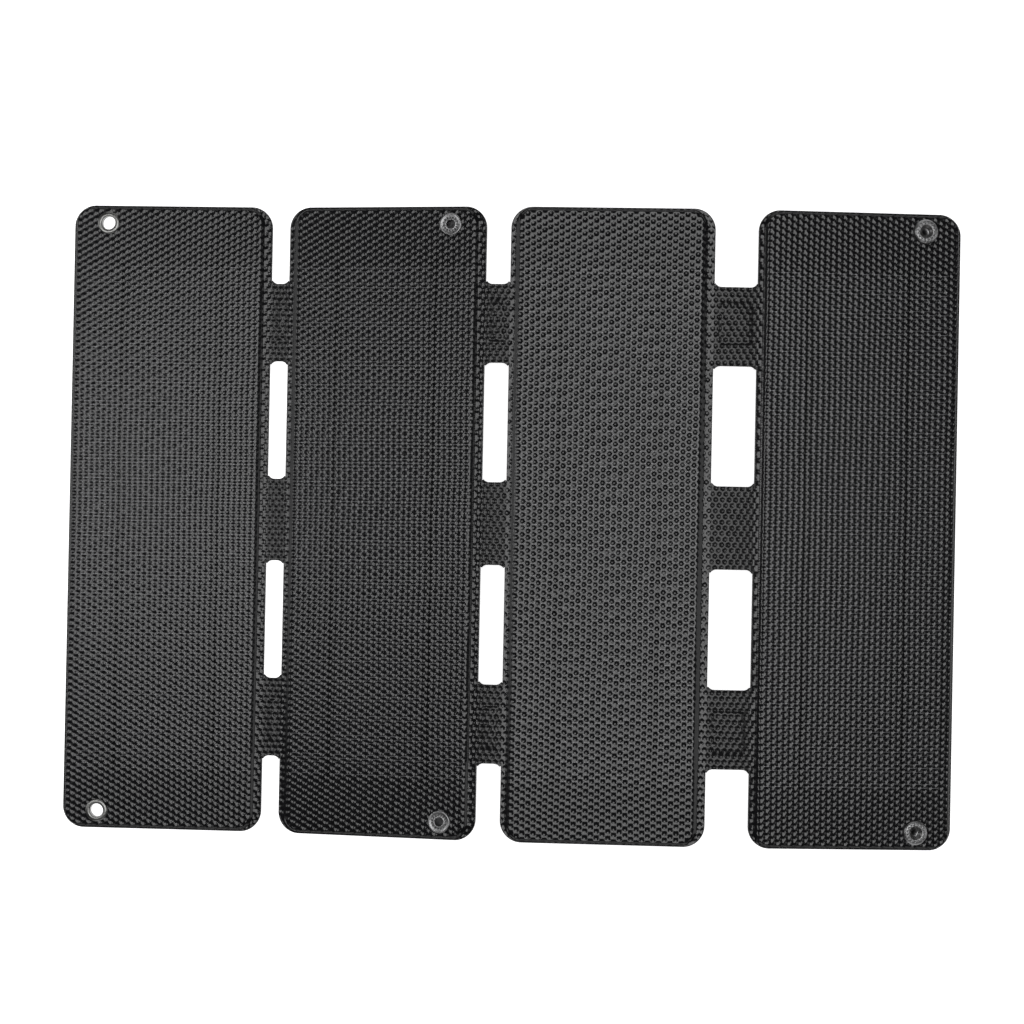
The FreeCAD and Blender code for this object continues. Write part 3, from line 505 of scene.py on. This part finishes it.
class Gap:
    """The space between two leaves at rest: how wide it is and the curve that a web takes across it."""

    def __init__(self, number):
        self.number = number
        left, right = LEAF_FRAMES[number], LEAF_FRAMES[number + 1]
        self.start = left @ Vector((LEAF_WIDTH / 2, 0, 0))
        self.end = right @ Vector((-LEAF_WIDTH / 2, 0, 0))
        self.along = [np.array(m.to_3x3() @ Vector((1, 0, 0))) for m in (left, right)]
        self.width = (self.end - self.start).length

    def bend(self, points):
        """Puts (across from the gap's middle, along, height) points on the web's curve."""
        t = np.clip(points[:, 0] / self.width + 0.5, 0, 1)[:, None]
        a, b = np.array(self.start), np.array(self.end)
        reach = self.width / 3
        p, q = a + self.along[0] * reach, b - self.along[1] * reach
        s = 1 - t
        on = a * s ** 3 + 3 * p * s * s * t + 3 * q * s * t * t + b * t ** 3
        run = (p - a) * s * s + 2 * (q - p) * s * t + (b - q) * t * t
        run /= np.linalg.norm(run, axis=1)[:, None]
        out = np.stack([-run[:, 2], np.zeros(len(run)), run[:, 0]], 1)
        on = on + out * points[:, 2:3]
        on[:, 1] = points[:, 1]
        return on

    def join(self, piece):
        """Bakes the piece's placement into its mesh; the line it would bend in, all across the gap or, past half a
        turn, a narrow one, is worked out but not used.
        """
        start, end = self.start, self.end
        if self.number in PAST_HALF_TURN:
            across = (end - start).normalized()
            middle = (start + end) / 2 + across * FOLD_LINE_SHIFT
            start, end = middle - across * FOLD_LINE, middle + across * FOLD_LINE
        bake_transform(piece)
        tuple(start)
        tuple(end)


def web_cuts(gap):
    """Signed distance to the slots and end notches of one gap, positive inside them."""
    slot_half = (END_TOP - END_BRIDGE - MIDDLE_BRIDGE / 2) / 2
    slot_middle = MIDDLE_BRIDGE / 2 + slot_half

    def distance(x, y):
        up = np.abs(y)
        slot = rounded_box(x, up - slot_middle, gap.width / 2, slot_half, SLOT_CORNER)
        notch = rounded_box(x, up - END_TOP - END_NOTCH, gap.width / 2, END_NOTCH, SLOT_CORNER)
        return np.maximum(-slot, -notch)

    return distance


def patch_rise(gap, x, y):
    """Height of the puckered patch over the conductors in each end bridge."""
    from_middle = np.abs(y) - PATCH_MIDDLE
    d = -rounded_box(x, from_middle, gap.width / 2 - PATCH_INSET, PATCH_HIGH / 2, PATCH_CORNER)
    pucker = wander(x, y, PUCKER_PITCH, np.random.default_rng(PUCKER_SEED + gap.number))
    return smooth(d / PATCH_RAMP) * (PATCH_RISE + PUCKER_DEPTH * pucker)


def build_web(number, material):
    """The three film bridges of one gap, in one closed piece shaped on the curve across the gap."""
    gap = Gap(number)
    cuts = web_cuts(gap)
    reach = END_TOP + SLOT_CORNER

    def outline(x, y):
        return np.maximum(cuts(x, y), np.maximum(np.abs(x) - gap.width / 2, np.abs(y) - reach))

    def top(x, y):
        free = smooth(-cuts(x, y) / EMBOSS_FADE)
        pits = WEB_EMBOSS * emboss(y, x, WEB_SEED + number) * free
        return WEB_THICK + patch_rise(gap, x, y) + pits

    def round_off(x, y):
        seam = np.abs(x) > gap.width / 2 - RIM_ROUND / 2
        return RIM_ROUND * (1 - JOINED * seam)

    points, tris, quads, crisp = sheet_shell(
        gap.width / 2, reach, WEB_FINE, outline, top, WEB_BOTTOM, round_off, True)
    piece = mesh_from("web_%d" % number, gap.bend(points), tris, quads, points, crisp)
    piece.data.materials.append(material)
    gap.join(piece)
    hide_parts("web_%d_left" % number, "web_%d_right" % number)
    if number not in PAST_HALF_TURN:
        build_conductors(gap)


def build_conductors(gap):
    """The flat conductors inside the end bridges, shaped on the web's curve."""
    node = "web_conductors_%d_left" % gap.number
    co = np.array([v.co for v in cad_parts[node].data.vertices])
    upper = co[co[:, 1] > 0][:, 1]
    x = np.linspace(-gap.width / 2, gap.width / 2, CONDUCTOR_STEPS + 1)
    points, quads = [], []
    for end in (-1, 1):
        sides = (end * upper.min(), end * upper.max())
        low, high = CONDUCTOR_HEIGHT, CONDUCTOR_HEIGHT + CONDUCTOR_THICK
        ring = [(sides[0], low), (sides[1], low), (sides[1], high), (sides[0], high)]
        first = len(points)
        points += [(across, along, up) for across in x for along, up in ring]
        for step in range(CONDUCTOR_STEPS):
            at = first + 4 * step
            quads += [(at + k, at + (k + 1) % 4, at + 4 + (k + 1) % 4, at + 4 + k) for k in range(4)]
        quads += [tuple(first + k for k in (3, 2, 1, 0))]
        quads += [tuple(first + 4 * CONDUCTOR_STEPS + k for k in (0, 1, 2, 3))]
    piece = mesh_from("web_conductor_%d" % gap.number, gap.bend(np.array(points)),
                      np.zeros((0, 3), int), np.array(quads))
    face_outwards(piece)
    piece.data.materials.append(ribbon_metal())
    gap.join(piece)
    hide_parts(node, "web_conductors_%d_right" % gap.number)


# ---------------------------------------------------------------- turned fasteners

def dotted(radius, angle, dots):
    """Depth of a ring of pressed dots, given as (ring radius, dot radius, depth) in metres."""
    if dots is None:
        return 0.0
    ring, size, depth = dots
    turn = math.remainder(angle, 2 * math.pi / DOTS_ROUND) * ring
    away = math.hypot(radius - ring, turn) / size
    return depth * max(0.0, 1 - away * away)


def turned(name, profile, places, number, material, nodes, dots=None):
    """Rings of a closed (radius, height) profile turned about each place on a leaf, in one piece."""
    segments = POINTS_A_DOT * DOTS_ROUND
    angles = np.linspace(0, 2 * math.pi, segments, endpoint=False)
    rings = len(profile)
    points, quads = [], []
    for x, y, _ in places:
        first = len(points)
        for r, up in profile:
            dip = [dotted(r, a, dots) if up > ZONE_TOP else 0.0 for a in angles]
            points += [(x + r * math.cos(a), y + r * math.sin(a), up - down) for a, down in zip(angles, dip)]
        for k in range(rings):
            for s in range(segments):
                here, after = first + k * segments, first + (k + 1) % rings * segments
                quads.append((here + s, here + (s + 1) % segments, after + (s + 1) % segments, after + s))
    points = np.array(points)
    piece = mesh_from(name, to_row(points, LEAF_FRAMES[number]), np.zeros((0, 3), int), np.array(quads), points)
    face_outwards(piece)
    piece.data.materials.append(material)
    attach(piece, "panel_%d" % number)
    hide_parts(*nodes)


def millimetres(profile):
    """A profile written in millimetres, in metres."""
    return [(r * MM, up * MM) for r, up in profile]


# ---------------------------------------------------------------- shader building

class Nodes:
    """Adds and links the nodes of one tree."""

    def __init__(self, tree):
        self.tree = tree

    def add(self, kind, inputs=None, **settings):
        """A node with its settings, and its inputs given as values or as other nodes' outputs."""
        made = self.tree.nodes.new(kind)
        for key, value in settings.items():
            setattr(made, key, value)
        for key, value in (inputs or {}).items():
            socket = made.inputs[key]
            if isinstance(value, bpy.types.NodeSocket):
                self.tree.links.new(value, socket)
            else:
                socket.default_value = value
        return made

    def math(self, operation, a, b=0.0):
        """The result of one sum on two values."""
        return self.add("ShaderNodeMath", {0: a, 1: b}, operation=operation).outputs[0]

    def mix(self, share, a, b):
        """A colour that goes from a to b as share goes from 0 to 1."""
        made = self.add("ShaderNodeMix", data_type="RGBA")
        for key, value in ((0, share), (6, a), (7, b)):
            if isinstance(value, bpy.types.NodeSocket):
                self.tree.links.new(value, made.inputs[key])
            else:
                made.inputs[key].default_value = value
        return made.outputs[2]

    def span(self, value, low, high):
        """0 below low, 1 above high, straight between."""
        return self.add("ShaderNodeMapRange", {0: value, 1: low, 2: high}).outputs[0]


def new_group(name, inputs, outputs):
    """An effect shared by materials, with its named inputs and outputs."""
    tree = bpy.data.node_groups.new(name, "ShaderNodeTree")
    for label, kind, value in inputs:
        socket = tree.interface.new_socket(name=label, in_out="INPUT", socket_type=kind)
        if value is not None:
            socket.default_value = value
    for label, kind in outputs:
        tree.interface.new_socket(name=label, in_out="OUTPUT", socket_type=kind)
    n = Nodes(tree)
    return tree, n, n.add("NodeGroupInput").outputs, n.add("NodeGroupOutput").inputs


def grain_group():
    """Fine uneven grain of moulded and rolled surfaces."""
    tree, n, given, out = new_group(
        "grain", [("Scale", "NodeSocketFloat", 900.0), ("Spread", "NodeSocketFloat", 0.1)],
        [("Height", "NodeSocketFloat"), ("Shift", "NodeSocketFloat")])
    place = n.add("ShaderNodeTexCoord").outputs["Object"]
    noise = n.add("ShaderNodeTexNoise", {"Vector": place, "Scale": given["Scale"], "Detail": 4.0})
    tree.links.new(noise.outputs["Fac"], out["Height"])
    centred = n.math("SUBTRACT", noise.outputs["Fac"], 0.5)
    tree.links.new(n.math("MULTIPLY", centred, given["Spread"]), out["Shift"])
    return tree


def wear_group():
    """Where handling has rubbed the surface: patchy, with thin scratches."""
    tree, n, given, out = new_group(
        "wear", [("Amount", "NodeSocketFloat", 0.3), ("Scratches", "NodeSocketFloat", 0.3)],
        [("Mask", "NodeSocketFloat")])
    place = n.add("ShaderNodeTexCoord").outputs["Object"]
    patches = n.add("ShaderNodeTexNoise", {"Vector": place, "Scale": 26.0, "Detail": 5.0}).outputs["Fac"]
    patch = n.math("MULTIPLY", n.span(patches, 0.55, 0.75), given["Amount"])
    long_place = n.add("ShaderNodeMapping", {"Vector": place, "Rotation": (0, 0, 0.6), "Scale": (40, 900, 300)})
    lines = n.add("ShaderNodeTexNoise", {"Vector": long_place.outputs[0], "Scale": 1.0, "Detail": 2.0})
    line = n.math("MULTIPLY", n.span(lines.outputs["Fac"], 0.68, 0.74), given["Scratches"])
    tree.links.new(n.math("MAXIMUM", patch, line), out["Mask"])
    return tree


def cloth_group():
    """Plain weave: threads over and under each other at a given count per metre."""
    tree, n, given, out = new_group(
        "cloth", [("Place", "NodeSocketVector", None), ("Threads", "NodeSocketFloat", 2200.0)],
        [("Height", "NodeSocketFloat")])
    part = n.add("ShaderNodeSeparateXYZ", {0: given["Place"]}).outputs
    across = n.math("MULTIPLY", part[0], given["Threads"])
    along = n.math("MULTIPLY", part[1], given["Threads"])
    warp = n.math("ABSOLUTE", n.math("SINE", n.math("MULTIPLY", across, math.pi)))
    weft = n.math("ABSOLUTE", n.math("SINE", n.math("MULTIPLY", along, math.pi)))
    checks = n.math("MODULO", n.math("ADD", n.math("FLOOR", across), n.math("FLOOR", along)), 2.0)
    over = n.math("GREATER_THAN", n.math("ABSOLUTE", checks), 0.5)
    high = n.math("ADD", n.math("MULTIPLY", warp, over),
                  n.math("MULTIPLY", weft, n.math("SUBTRACT", 1.0, over)))
    tree.links.new(high, out["Height"])
    return tree


GRAIN = grain_group()
WEAR = wear_group()
CLOTH = cloth_group()


def new_material(name, **plain):
    """A material with its Principled shader's plain values set, and a helper for its nodes."""
    made = bpy.data.materials.new(name)
    made.use_nodes = True
    n = Nodes(made.node_tree)
    shader = made.node_tree.nodes["Principled BSDF"]
    for key, value in plain.items():
        shader.inputs[key.replace("_", " ")].default_value = value
    return made, n, shader


def use(n, tree, **values):
    """A shared effect placed in a material with its own values."""
    made = n.add("ShaderNodeGroup", node_tree=tree)
    for key, value in values.items():
        if isinstance(value, bpy.types.NodeSocket):
            n.tree.links.new(value, made.inputs[key])
        else:
            made.inputs[key].default_value = value
    return made.outputs


def bumped(n, shader, height, distance, strength):
    """Feeds a height to the shader's normal."""
    bump = n.add("ShaderNodeBump", {"Height": height, "Distance": distance, "Strength": strength})
    n.tree.links.new(bump.outputs[0], shader.inputs["Normal"])


def worn(n, shader, colour, rubbed, roughness, wear, grain):
    """Links a colour that pales where it is rubbed, and a roughness that varies with grain and wear."""
    n.tree.links.new(n.mix(wear, colour, rubbed), shader.inputs["Base Color"])
    rough = n.math("ADD", n.math("ADD", roughness, grain), n.math("MULTIPLY", wear, -0.12))
    n.tree.links.new(rough, shader.inputs["Roughness"])


# ---------------------------------------------------------------- materials

def film_black(printed):
    """Embossed clear film over black cells; the printed kind shows the cells' fingers and bus strips."""
    made, n, shader = new_material(
        "embossed_film" if printed else "embossed_web", IOR=1.42,
        Specular_IOR_Level=FILM_GLOSS if printed else WEB_GLOSS)
    grain = use(n, GRAIN, Scale=2400.0, Spread=0.10)
    wear = use(n, WEAR, Amount=0.2, Scratches=0.25)
    colour = cell_print(n) if printed else FILM_COLOUR
    worn(n, shader, colour, RUBBED_FILM, FILM_ROUGH if printed else WEB_ROUGH, wear["Mask"], grain["Shift"])
    bumped(n, shader, grain["Height"], 0.02 * MM, 0.5)
    return made


def cell_print(n):
    """Colour of the cells under the film: dark silicon, dark bus strips, pale fingers where the film is thick."""
    place = n.add("ShaderNodeAttribute", attribute_name="pattern_place").outputs["Vector"]
    part = n.add("ShaderNodeSeparateXYZ", {0: place}).outputs
    facing = n.add("ShaderNodeSeparateXYZ", {0: n.add("ShaderNodeNewGeometry").outputs["Normal"]}).outputs
    seen = n.math("ADD", part[1], n.math("MULTIPLY", facing[1], LENS_SHIFT))
    row = n.math("ABSOLUTE", n.math("SUBTRACT", n.math("FRACT", n.math("DIVIDE", seen, FINGER_PITCH)), 0.5))
    finger = n.span(row, 0.5 - FINGER_SHARE, 0.5 - FINGER_SHARE / 2)
    crest = n.span(part[2], ZONE_TOP - FINGER_LOW, ZONE_TOP - FINGER_HIGH)
    across = n.math("ABSOLUTE", part[0])
    bus = n.math("ABSOLUTE", n.math("SUBTRACT", across, BUS_PLACE))
    off_bus = n.span(bus, BUS_WIDTH / 2, BUS_WIDTH / 2 + BUS_EDGE)
    on_cells = n.math("MULTIPLY", n.math("LESS_THAN", across, CELL_WIDTH / 2),
                      n.math("LESS_THAN", n.math("ABSOLUTE", part[1]), CELL_ROWS / 2))
    shown = n.math("MULTIPLY", n.math("MULTIPLY", finger, crest), n.math("MULTIPLY", on_cells, off_bus))
    tone = n.add("ShaderNodeTexNoise", {"Vector": place, "Scale": 40.0, "Detail": 3.0}).outputs["Fac"]
    silicon = n.mix(n.span(tone, 0.3, 0.7), FILM_COLOUR, SILICON_COLOUR)
    strips = n.mix(n.math("MAXIMUM", off_bus, n.math("SUBTRACT", 1.0, on_cells)), BUS_COLOUR, silicon)
    return n.mix(n.math("MULTIPLY", shown, FINGER_STRENGTH), strips, FINGER_COLOUR)


def backing_cloth():
    """Coated black cloth of the back sheets, with painted shade: darker between the threads, paler on their crowns."""
    made, n, shader = new_material("backing_cloth", Specular_IOR_Level=0.4, Sheen_Weight=0.15)
    place = n.add("ShaderNodeTexCoord").outputs["Object"]
    weave = use(n, CLOTH, Place=place, Threads=2000.0)["Height"]
    grain = use(n, GRAIN, Scale=1800.0, Spread=0.12)
    wear = use(n, WEAR, Amount=0.4, Scratches=0.2)
    # Painted shade: the colour follows the weave's height, dark in the low gaps between threads and paler on the raised
    # crowns.
    weave_colour_with_painted_shade = n.mix(weave, (0.006, 0.006, 0.007, 1), (0.022, 0.022, 0.024, 1))
    worn(n, shader, weave_colour_with_painted_shade, (0.05, 0.05, 0.052, 1), 0.62, wear["Mask"], grain["Shift"])
    bumped(n, shader, weave, 0.12 * MM, 0.7)
    return made


def metal(name, colour, roughness, scratches, dull=(0.10, 0.10, 0.10, 1)):
    """Plated sheet metal with fine scratches and dulled patches."""
    made, n, shader = new_material(name, Metallic=1.0)
    grain = use(n, GRAIN, Scale=3000.0, Spread=0.16)
    wear = use(n, WEAR, Amount=0.5, Scratches=scratches)
    worn(n, shader, colour, dull, roughness, wear["Mask"], grain["Shift"])
    bumped(n, shader, grain["Height"], 0.02 * MM, 0.4)
    return made


def moulded(name, colour, rubbed, roughness, grain_scale, depth):
    """Moulded plastic or rubber with a fine spark-eroded grain."""
    made, n, shader = new_material(name, Specular_IOR_Level=0.45)
    grain = use(n, GRAIN, Scale=grain_scale, Spread=0.14)
    wear = use(n, WEAR, Amount=0.45, Scratches=0.35)
    worn(n, shader, colour, rubbed, roughness, wear["Mask"], grain["Shift"])
    bumped(n, shader, grain["Height"], depth, 0.8)
    return made


RIBBON = []


def ribbon_metal():
    """Tinned copper of the ribbons and conductors, made once."""
    if not RIBBON:
        RIBBON.append(metal("tinned_ribbon", (0.55, 0.55, 0.54, 1), 0.35, 0.3))
    return RIBBON[0]


def paint_nodes():
    """Gives every carried-over node its material."""
    plastic = moulded("box_plastic", (0.018, 0.018, 0.019, 1), (0.06, 0.06, 0.06, 1), 0.48, 2600.0, 0.06 * MM)
    rubber = moulded("soft_rubber", (0.012, 0.012, 0.012, 1), (0.04, 0.04, 0.04, 1), 0.72, 1500.0, 0.05 * MM)
    screw = metal("screw_steel", (0.16, 0.16, 0.165, 1), 0.38, 0.5)
    spring = metal("spring_wire", (0.62, 0.60, 0.56, 1), 0.28, 0.3)
    shell = metal("port_shell", (0.60, 0.60, 0.61, 1), 0.30, 0.4)
    board = moulded("stiffener_board", (0.03, 0.028, 0.026, 1), (0.08, 0.075, 0.07, 1), 0.7, 900.0, 0.05 * MM)
    silicon = moulded("solar_cell", (0.006, 0.007, 0.012, 1), (0.03, 0.03, 0.04, 1), 0.25, 3000.0, 0.01 * MM)
    sealant = moulded("sealant", (0.35, 0.35, 0.33, 1), (0.5, 0.5, 0.48, 1), 0.35, 700.0, 0.04 * MM)
    green = moulded("circuit_board", (0.008, 0.07, 0.03, 1), (0.05, 0.14, 0.08, 1), 0.35, 2000.0, 0.02 * MM)
    parts = moulded("board_part", (0.02, 0.02, 0.02, 1), (0.08, 0.08, 0.08, 1), 0.5, 2500.0, 0.03 * MM)
    lens = moulded("indicator_lens", (0.25, 0.30, 0.26, 1), (0.4, 0.45, 0.4, 1), 0.18, 2500.0, 0.01 * MM)
    cloth = backing_cloth()
    kinds = {
        "back_sheet_": cloth, "stiffener_board_": board, "solar_cells_": silicon, "sealant_layer_": sealant,
        "bus_ribbons_": ribbon_metal(), "web_conductors_": ribbon_metal(), "box_base": plastic,
        "box_cover": plastic, "port_flap": rubber, "box_gasket": rubber, "box_feet": rubber,
        "indicator_lens": lens, "circuit_board": green, "board_parts": parts, "usb_": shell,
        "flap_pin": shell, "cover_screws": screw, "snap_springs": spring,
    }
    for name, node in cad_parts.items():
        for start, material in kinds.items():
            if name.startswith(start):
                for holder in node.material_slots:
                    holder.material = material


# ---------------------------------------------------------------- assembling

def build_fasteners():
    """Eyelets, washers and both halves of the snaps."""
    nickel = metal("eyelet_nickel", (0.17, 0.17, 0.165, 1), 0.30, 0.4)
    gunmetal = metal("snap_gunmetal", (0.21, 0.21, 0.212, 1), 0.36, 0.5, dull=(0.13, 0.13, 0.13, 1))
    eyes = spots("eyelets", 1)
    turned("eyelet_pair", millimetres(EYELET), eyes, 1, nickel, ["eyelets"])
    turned("eyelet_backs", millimetres(EYELET_BACK), eyes, 1, nickel, ["eyelet_washers"])
    posts = spots("post_caps", 2)
    turned("post_pair", millimetres(POST), posts, 2, gunmetal, ["post_caps"],
           [size * MM for size in POST_DOTS])
    turned("stud_pair", millimetres(STUD), posts, 2, gunmetal, ["snap_studs"])
    seats = spots("snap_sockets", 4)
    turned("socket_pair", millimetres(SOCKET), seats, 4, gunmetal, ["snap_sockets"],
           [size * MM for size in SOCKET_DOTS])
    turned("socket_backs", millimetres(SOCKET_BACK), seats, 4, gunmetal, ["socket_caps"])


def build_object():
    """Everything that shows."""
    printed, plain = film_black(True), film_black(False)
    for number in LEAVES:
        build_film(number, printed)
    for number in GAPS:
        build_web(number, plain)
    build_fasteners()
    paint_nodes()


# ---------------------------------------------------------------- floor, lights, camera

def build_floor():
    """A plain pale floor under the object."""
    mesh = bpy.data.meshes.new("floor")
    corners = [(FLOOR_REACH * x, FLOOR_REACH * y, 0) for x, y in ((-1, -1), (1, -1), (1, 1), (-1, 1))]
    mesh.from_pydata(corners, [], [(0, 1, 2, 3)])
    floor = bpy.data.objects.new("floor", mesh)
    bpy.context.scene.collection.objects.link(floor)
    made, n, shader = new_material("floor_white", Roughness=0.9, Specular_IOR_Level=0.1,
                                   Emission_Color=(1, 1, 1, 1), Emission_Strength=FLOOR_GLOW)
    place = n.add("ShaderNodeTexCoord").outputs["Object"]
    tone = n.add("ShaderNodeTexNoise", {"Vector": place, "Scale": 3.0}).outputs["Fac"]
    n.tree.links.new(n.mix(tone, (0.90, 0.90, 0.90, 1), (0.93, 0.93, 0.93, 1)), shader.inputs["Base Color"])
    mesh.materials.append(made)


def softbox(name, place, aim, width, length, radiance):
    """A rectangular light facing its aim, as bright as radiance all over its face."""
    data = bpy.data.lights.new(name, "AREA")
    data.shape = "RECTANGLE"
    data.size, data.size_y = width, length
    data.energy = radiance * width * length * math.pi
    lamp = bpy.data.objects.new(name, data)
    bpy.context.scene.collection.objects.link(lamp)
    lamp.location = place
    lamp.rotation_euler = (Vector(aim) - Vector(place)).to_track_quat("-Z", "Y").to_euler()


def build_lights():
    """Soft studio light: three boxes overhead, a small low one at the left, and fill from the sides."""
    for name, place, aim, width, length, radiance in LAMPS:
        softbox(name, place, aim, width, length, radiance)
    world = bpy.data.worlds.new("studio")
    world.use_nodes = True
    world.node_tree.nodes["Background"].inputs[0].default_value = (1, 1, 1, 1)
    world.node_tree.nodes["Background"].inputs[1].default_value = WORLD_STRENGTH
    bpy.context.scene.world = world


def build_camera():
    """The camera, looking almost straight down."""
    data = bpy.data.cameras.new("camera")
    data.lens, data.sensor_width = CAMERA_LENS, CAMERA_SENSOR
    data.clip_start, data.clip_end = 0.05, 20.0
    camera = bpy.data.objects.new("camera", data)
    bpy.context.scene.collection.objects.link(camera)
    camera.location = CAMERA_PLACE
    camera.rotation_euler = [math.radians(angle) for angle in CAMERA_TURN]
    bpy.context.scene.camera = camera


build_object()
build_floor()
build_lights()
build_camera()
bpy.context.scene.view_settings.view_transform = "Standard"
